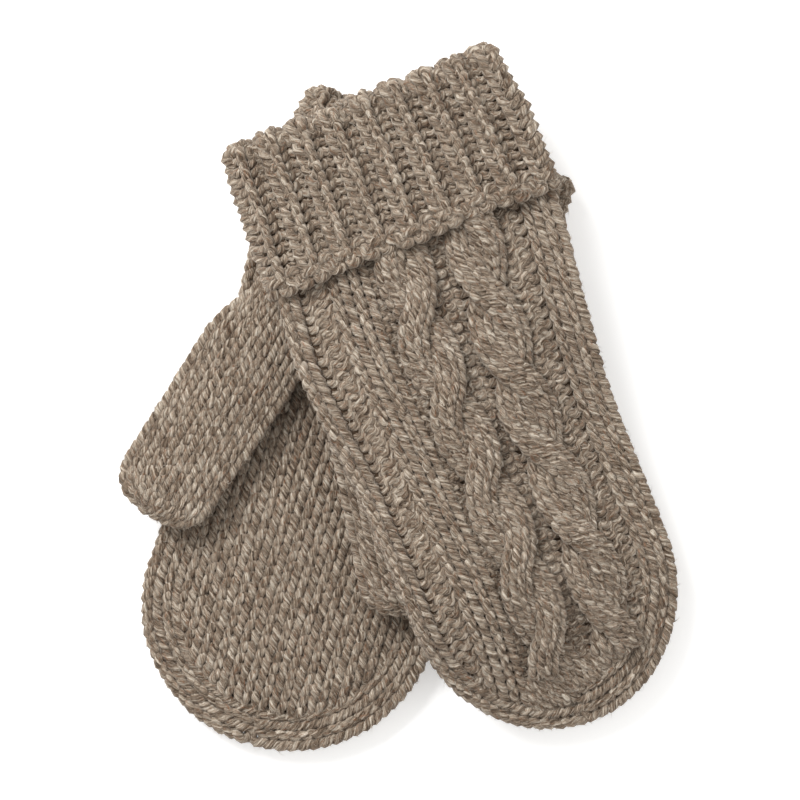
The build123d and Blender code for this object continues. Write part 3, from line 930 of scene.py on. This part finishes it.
def bend_with_thumb(obj, m):
    """Bake a piece's place into its mesh, so that it stays where it is in the shared frame."""
    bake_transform(obj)


def thumb(m):
    """Gusset, seam, tube and tip of the thumb with the felt inside them."""
    name, body = m.name, m.name + "_thumb"
    start = m.thumb_reach - THUMB_END_ROUND
    end = start + THUMB_END_ROUND * TIP_STRETCH * math.pi / 2
    tube_start, tube_end = KNUCKLE + 2.5, start + 4
    gusset = thumb_rows(m, name + "_gusset_knit", GUSSET_START, KNUCKLE - 3)
    obj = gusset.build(MATS["wool_plain"])
    bend_with_thumb(obj, m)
    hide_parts(name + "_thumb_gusset")
    seam = thumb_rows(m, name + "_thumb_seam_knit", KNUCKLE - 2, KNUCKLE + 1, YARN * 1.02)
    finish_piece(seam, body, "wool_seam", name + "_thumb_seam")
    tube = thumb_rows(m, name + "_thumb_knit", tube_start, tube_end)
    finish_piece(tube, body, "wool_plain", name + "_thumb_tube")
    tip_first = tube_end + (tube_start - tube_end) % ROW
    tip = thumb_rows(m, name + "_thumb_tip_knit", tip_first, end - 1)
    finish_piece(tip, body, "wool_plain", name + "_thumb_tip")

    def place(share, reach, h):
        return thumb_point(m, share, reach, h)

    path = np.concatenate([np.linspace(KNUCKLE - 4, start, 14), np.linspace(start + 2, end - 1.5, 8)])
    rings = two_faces(place, path, (-SINK - 1.7, -SINK - 2.4), 60)
    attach(shell(name + "_thumb_inside", rings), body)
    path = np.linspace(GUSSET_START, KNUCKLE - 2, 12)
    rings = two_faces(place, path, (-SINK - 1.5, -SINK - 2.2), 60)
    bend_with_thumb(shell(name + "_gusset_inside", rings), m)
    return [seam, tube, tip]


# Loose fibres. A fibre is a short curled cone of FIBRE_PARTS rings with FIBRE_SIDES corners each.

FIBRE_PARTS, FIBRE_SIDES = 3, 3
FIBRE_LENGTH = (1.5, 4.5)
FIBRE_RADIUS = 0.09
FIBRE_ROOT = 0.3       # how deep in the yarn a fibre starts
MANY, FEW, FEWEST = 14000, 5000, 4000      # fibres on a piece that shows, and on hidden ones


def fibre_rings(root, way):
    """The corners of every fibre's rings, as (fibre, ring, corner, 3)."""
    count = len(root)
    across = np.cross(way, RNG.standard_normal((count, 3)))
    across /= np.linalg.norm(across, axis=1)[:, None]
    size = RNG.uniform(*FIBRE_LENGTH, (count, 1)) * MM * RNG.uniform(0.4, 1, (count, 1))
    t = np.linspace(0, 1, FIBRE_PARTS)[None, :, None]
    curl = np.cross(way, across)
    twist = 0.25 * np.sin(t * 3.0 + RNG.uniform(0, 6, (count, 1, 1)))
    bent = way[:, None] * (t * 0.75 - 0.35 * t**2) + across[:, None] * (t * 0.6) + curl[:, None] * twist
    path = root[:, None] - way[:, None] * FIBRE_ROOT * MM + size[:, None] * bent
    tangent = np.gradient(path, axis=1)
    tangent /= np.linalg.norm(tangent, axis=2)[..., None]
    side = np.cross(tangent, curl[:, None])
    side /= np.linalg.norm(side, axis=2)[..., None] + 1e-12
    up = np.cross(side, tangent)
    angle = np.arange(FIBRE_SIDES) / FIBRE_SIDES * 2 * math.pi
    cos, sin = np.cos(angle)[None, None, :, None], np.sin(angle)[None, None, :, None]
    thick = (FIBRE_RADIUS * (1 - 0.7 * t[0, :, 0]) * MM)[None, :, None, None]
    return path[:, :, None] + thick * (cos * up[:, :, None] + sin * side[:, :, None])


def fuzz(name, sources, body, count):
    """Fine fibres that stand off the yarn and curl over it."""
    roots = np.concatenate([s.roots for s in sources])
    ways = np.concatenate([s.ways for s in sources])
    pick = RNG.integers(0, len(roots), count)
    verts = fibre_rings(roots[pick], ways[pick]).reshape(-1, 3)
    verts[:, 2] = np.maximum(verts[:, 2], 0.0)
    parts, sides = FIBRE_PARTS, FIBRE_SIDES
    k, i, j = np.meshgrid(np.arange(count), np.arange(parts - 1), np.arange(sides), indexing="ij")
    base = k * parts * sides
    here, there, j2 = base + i * sides, base + (i + 1) * sides, (j + 1) % sides
    quads = np.stack([here + j, here + j2, there + j2, there + j], -1).reshape(-1, 4)
    first = (np.arange(count) * parts * sides)[:, None]
    caps = np.concatenate([first + [2, 1, 0], first + (parts - 1) * sides + [0, 1, 2]])
    loops = np.concatenate([quads.ravel(), caps.ravel()])
    starts = np.concatenate([np.arange(len(quads)) * 4, len(quads) * 4 + np.arange(len(caps)) * 3])
    # Every fibre has a cell of the baked map.
    cells = math.ceil(math.sqrt(count))
    corner = np.stack([np.arange(count) % cells, np.arange(count) // cells], -1) / cells
    grid = np.stack([i, j], -1)[0].reshape(-1, 2) / [parts, sides + 1]
    square = np.array([[0, 0], [0, 1], [1, 1], [1, 0]]) / [parts, sides + 1]
    inner = (grid[:, None] + square[None]).reshape(-1, 2)
    quad_uv = (corner[:, None] + inner[None] * 0.92 / cells).reshape(-1, 2)
    tri = np.array([[0.0, 0.8], [0.1, 0.8], [0.05, 0.9]])
    cap_uv = np.concatenate([corner[:, None] + (tri[None] + [shift, 0]) / cells for shift in (0, 0.3)])
    bake = np.concatenate([quad_uv, cap_uv.reshape(-1, 2)])
    obj = link(name, polygon_mesh(name, verts, loops, starts, (("OFBake", bake),)), FLUFF)
    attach(obj, body)


for mitt in (RIGHT, LEFT):
    palm_up = mitt.palm > 0
    palm_side, back_side = (MANY, FEW) if palm_up else (FEW, MANY)
    palm_piece, back_piece, border_pieces, ropes_made = hand(mitt)
    hand_inside(mitt)
    cuff_pieces = cuff(mitt)
    thumb_pieces = thumb(mitt)
    for part, pieces, holder, fibres in (
            ("palm", [palm_piece], "hand", palm_side),
            ("back", [back_piece], "hand", back_side),
            ("edge", border_pieces, "hand", MANY),
            ("cable", ropes_made, "hand", FEWEST if palm_up else MANY),
            ("cuff", cuff_pieces, "cuff", MANY),
            ("thumb", thumb_pieces, "thumb", palm_side)):
        fuzz(f"{mitt.name}_{part}_fuzz", pieces, f"{mitt.name}_{holder}", fibres)

# Room, light and camera. The floor glows a little, so that it stays pale under the wool.

FLOOR_HALF, FLOOR_DROP = 3.0, 0.0002
corners = [(x * FLOOR_HALF, y * FLOOR_HALF, -FLOOR_DROP) for x, y in ((-1, -1), (1, -1), (1, 1), (-1, 1))]
floor_mesh = bpy.data.meshes.new("floor")
floor_mesh.from_pydata(corners, [], [(0, 1, 2, 3)])
paper = bpy.data.materials.new("paper")
paper.use_nodes = True
surface = paper.node_tree.nodes["Principled BSDF"].inputs
surface["Base Color"].default_value = (0.92, 0.92, 0.915, 1)
surface["Roughness"].default_value = 0.9
surface["Emission Color"].default_value = (1, 1, 1, 1)
surface["Emission Strength"].default_value = 0.3
floor = link("floor", floor_mesh, paper)

world = bpy.data.worlds.new("studio")
bpy.context.scene.world = world
world.use_nodes = True
world.node_tree.nodes["Background"].inputs["Color"].default_value = (1.0, 0.995, 0.985, 1)
world.node_tree.nodes["Background"].inputs["Strength"].default_value = 0.76


def lamp(name, place, target, size, power):
    """A square area light that faces a point."""
    data = bpy.data.lights.new(name, "AREA")
    data.size, data.energy = size, power
    obj = bpy.data.objects.new(name, data)
    obj.location = place
    obj.rotation_euler = (Vector(target) - Vector(place)).to_track_quat("-Z", "Y").to_euler()
    bpy.context.scene.collection.objects.link(obj)


MIDDLE = (0, 0, 0.02)
lamp("key", (-0.7, 0.8, 1.15), MIDDLE, 0.7, 24.0)
lamp("fill", (1.0, -0.4, 1.1), MIDDLE, 1.2, 3.0)
bpy.context.scene.view_settings.view_transform = "Standard"

camera = bpy.data.cameras.new("camera")
camera.lens, camera.sensor_width = 200.0, 36.0
VIEW_WIDTH, VIEW_LEVEL = 0.312, 0.025      # metres across the picture, and the height where that holds
eye = bpy.data.objects.new("camera", camera)
eye.location = (0.0009, -0.0005, VIEW_LEVEL + VIEW_WIDTH * camera.lens / camera.sensor_width)
bpy.context.scene.collection.objects.link(eye)
bpy.context.scene.camera = eye
